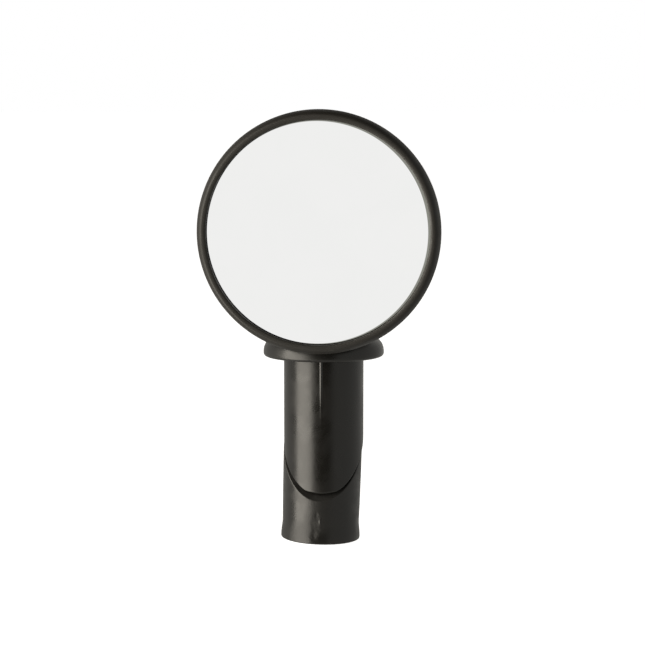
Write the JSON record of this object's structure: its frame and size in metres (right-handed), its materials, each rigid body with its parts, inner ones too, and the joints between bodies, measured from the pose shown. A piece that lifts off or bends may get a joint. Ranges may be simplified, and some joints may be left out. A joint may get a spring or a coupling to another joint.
{
  "type": "bar-end bicycle mirror",
  "caption": "Round convex bicycle mirror on a ball joint, with a diagonal-wedge expanding plug that grips the inside of a handlebar end.",
  "frame": {"origin": "centre of the cap's underside, the face that meets the end of the handlebar", "axes": "+Z along the plug's axis towards the mirror head; the mirror faces -Y; +X is to the right as the mirror is looked into"},
  "size_m": [0.056, 0.0357, 0.1027],
  "materials": {
    "black_nylon": "satin moulded",
    "wedge_nylon": "matte moulded",
    "cap_nylon": "satin moulded",
    "bezel_plastic": "semi-gloss moulded",
    "white_acetal": "natural acetal",
    "bronze_liner": "sintered bronze",
    "bright_steel": "polished",
    "zinc_steel": "zinc plated",
    "spring_steel": "tempered",
    "silvered_glass": "second-surface silvered",
    "grey_foam": "closed-cell foam",
    "black_rubber": "soft",
    "plate_plastic": "moulded"
  },
  "bodies": {
    "plug": {"expander_body": "black_nylon", "end_cap": "cap_nylon", "socket_collar": "cap_nylon", "seat_spring": "spring_steel", "bolt_washer": "zinc_steel"},
    "bolt": {"expander_bolt": "zinc_steel"},
    "nut": {"square_nut": "zinc_steel"},
    "wedge": {"expander_wedge": "wedge_nylon"},
    "seat": {"ball_seat": "white_acetal"},
    "liner": {"ball_liner": "bronze_liner"},
    "head": {"ball_stud": "bright_steel", "neck_arm": "black_nylon", "neck_screw_1": "zinc_steel", "neck_screw_2": "zinc_steel", "neck_screw_3": "zinc_steel", "rear_shell": "black_nylon", "backing_plate": "plate_plastic", "foam_pad": "grey_foam", "mirror_glass": "silvered_glass", "glass_gasket": "black_rubber", "bezel_ring": "bezel_plastic"}
  },
  "joints": [
    {"name": "head_pan", "type": "hinge", "parent": "plug", "child": "seat", "pos_m": [0, 0, 0.005], "axis": [0, 0, 1], "continuous": true},
    {"name": "head_tilt", "type": "hinge", "parent": "seat", "child": "liner", "pos_m": [0, 0, 0.005], "axis": [1, 0, 0], "range_deg": [-20, 8]},
    {"name": "head_lean", "type": "hinge", "parent": "liner", "child": "head", "pos_m": [0, 0, 0.005], "axis": [0, 1, 0], "range_deg": [-15, 15]},
    {"name": "bolt_turn", "type": "hinge", "parent": "plug", "child": "bolt", "pos_m": [0, 0, -0.0145], "axis": [-0.0279, 0, -0.9996], "range_deg": [-725, 1355]},
    {"name": "nut_travel", "type": "slide", "parent": "plug", "child": "nut", "axis": [0.0279, 0, 0.9996], "range_m": [-0.00161, 0.00301]},
    {"name": "wedge_travel", "type": "slide", "parent": "plug", "child": "wedge", "axis": [0.0223, 0.6018, 0.7983], "range_m": [-0.002, 0.00376]}
  ],
  "couplings": [
    {"joint": "nut_travel", "follows": "wedge_travel", "ratio": 0.79864},
    {"joint": "bolt_turn", "follows": "wedge_travel", "rad_per_m": 6272.5}
  ]
}
